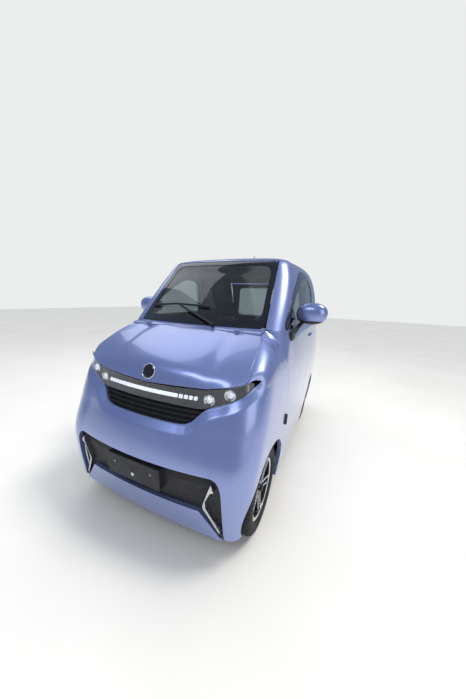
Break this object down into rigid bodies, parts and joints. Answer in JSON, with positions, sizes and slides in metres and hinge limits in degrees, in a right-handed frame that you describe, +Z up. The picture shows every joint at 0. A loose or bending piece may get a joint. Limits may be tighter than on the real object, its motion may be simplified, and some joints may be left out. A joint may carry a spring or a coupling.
{
  "type": "two-seat microcar",
  "caption": "Small two-seat electric car with a one-box hollow cabin, opening doors, hood and tailgate, steered front wheels and turning road wheels.",
  "frame": {"origin": "on the ground under the middle of the car's overall box", "axes": "+Z up, front of the car towards -Y, left (driver's) side towards +X"},
  "size_m": [1.508, 2.4199, 1.6015],
  "materials": {
    "body_paint": "metallic clear coat",
    "frame_steel": "black stoving paint",
    "black_plastic": "grained",
    "gloss_black": "gloss",
    "glass": "clear",
    "lens": "clear",
    "red_lens": "gloss",
    "bright_trim": "satin",
    "wheel_alloy": "machined and lacquered",
    "tyre": "rubber",
    "seat_fabric": "woven",
    "interior": "grained",
    "steel": "raw",
    "cast_iron": "cast"
  },
  "bodies": {
    "body": {"chassis": "frame_steel", "roof_panel": "body_paint", "side_frame_left": "body_paint", "side_frame_right": "body_paint", "cowl_panel": "body_paint", "front_wing_left": "body_paint", "front_wing_right": "body_paint", "front_bumper": "body_paint", "front_lip": "body_paint", "lamp_bar": "gloss_black", "lamp_lenses": "lens", "upper_intake": "black_plastic", "lower_grille": "black_plastic", "plate_holder": "black_plastic", "grille_trims": "bright_trim", "windscreen": "glass", "quarter_glasses": "glass", "wiper": "black_plastic", "antenna": "black_plastic", "wheel_housings": "frame_steel", "front_suspension": "steel", "rear_axle": "steel", "motor": "steel", "battery": "frame_steel", "dashboard": "interior", "seat_left": "seat_fabric", "seat_right": "seat_fabric", "tail_lamps": "red_lens", "rear_bumper": "body_paint"},
    "left_door": {"door_left": "body_paint", "door_glass_left": "glass", "mirror_left": "body_paint"},
    "right_door": {"door_right": "body_paint", "door_glass_right": "glass", "mirror_right": "body_paint"},
    "front_hood": {"hood": "body_paint", "emblem": "gloss_black"},
    "rear_gate": {"tailgate": "body_paint", "rear_glass": "glass"},
    "driver_wheel": {"steering_wheel": "interior"},
    "left_knuckle": {"knuckle_left": "cast_iron"},
    "right_knuckle": {"knuckle_right": "cast_iron"},
    "wheel_front_left": {"rim_front_left": "wheel_alloy", "tyre_front_left": "tyre"},
    "wheel_front_right": {"rim_front_right": "wheel_alloy", "tyre_front_right": "tyre"},
    "wheel_rear_left": {"rim_rear_left": "wheel_alloy", "tyre_rear_left": "tyre"},
    "wheel_rear_right": {"rim_rear_right": "wheel_alloy", "tyre_rear_right": "tyre"}
  },
  "joints": [
    {"name": "steer_left", "type": "hinge", "parent": "body", "child": "left_knuckle", "pos_m": [0.43536, -0.805, 0.254], "axis": [-0.1837, 0, 0.983], "range_deg": [-30, 30]},
    {"name": "steer_right", "type": "hinge", "parent": "body", "child": "right_knuckle", "pos_m": [-0.43536, -0.805, 0.254], "axis": [0.1837, 0, 0.983], "range_deg": [-30, 30]},
    {"name": "steering_wheel_turn", "type": "hinge", "parent": "body", "child": "driver_wheel", "pos_m": [0.262, -0.165, 0.945], "axis": [0, 0.9135, 0.4067], "range_deg": [-420, 420]},
    {"name": "left_door_hinge", "type": "hinge", "parent": "body", "child": "left_door", "pos_m": [0.624, -0.5565, 0.85], "axis": [0, 0, -1], "range_deg": [0, 68]},
    {"name": "right_door_hinge", "type": "hinge", "parent": "body", "child": "right_door", "pos_m": [-0.624, -0.5565, 0.85], "axis": [0, 0, 1], "range_deg": [0, 68]},
    {"name": "hood_hinge", "type": "hinge", "parent": "body", "child": "front_hood", "pos_m": [0, -0.6785, 1.11896], "axis": [-1, 0, 0], "range_deg": [0, 50]},
    {"name": "tailgate_hinge", "type": "hinge", "parent": "body", "child": "rear_gate", "pos_m": [0, 1.034, 1.477], "axis": [1, 0, 0], "range_deg": [0, 75]},
    {"name": "spin_front_left", "type": "hinge", "parent": "left_knuckle", "child": "wheel_front_left", "pos_m": [0.5195, -0.805, 0.254], "axis": [1, 0, 0], "continuous": true},
    {"name": "spin_front_right", "type": "hinge", "parent": "right_knuckle", "child": "wheel_front_right", "pos_m": [-0.5195, -0.805, 0.254], "axis": [1, 0, 0], "continuous": true},
    {"name": "spin_rear_left", "type": "hinge", "parent": "body", "child": "wheel_rear_left", "pos_m": [0.5195, 0.765, 0.254], "axis": [1, 0, 0], "continuous": true},
    {"name": "spin_rear_right", "type": "hinge", "parent": "body", "child": "wheel_rear_right", "pos_m": [-0.5195, 0.765, 0.254], "axis": [1, 0, 0], "continuous": true}
  ],
  "couplings": [
    {"joint": "steer_right", "follows": "steer_left", "ratio": 1},
    {"joint": "steering_wheel_turn", "follows": "steer_left", "ratio": 14}
  ]
}
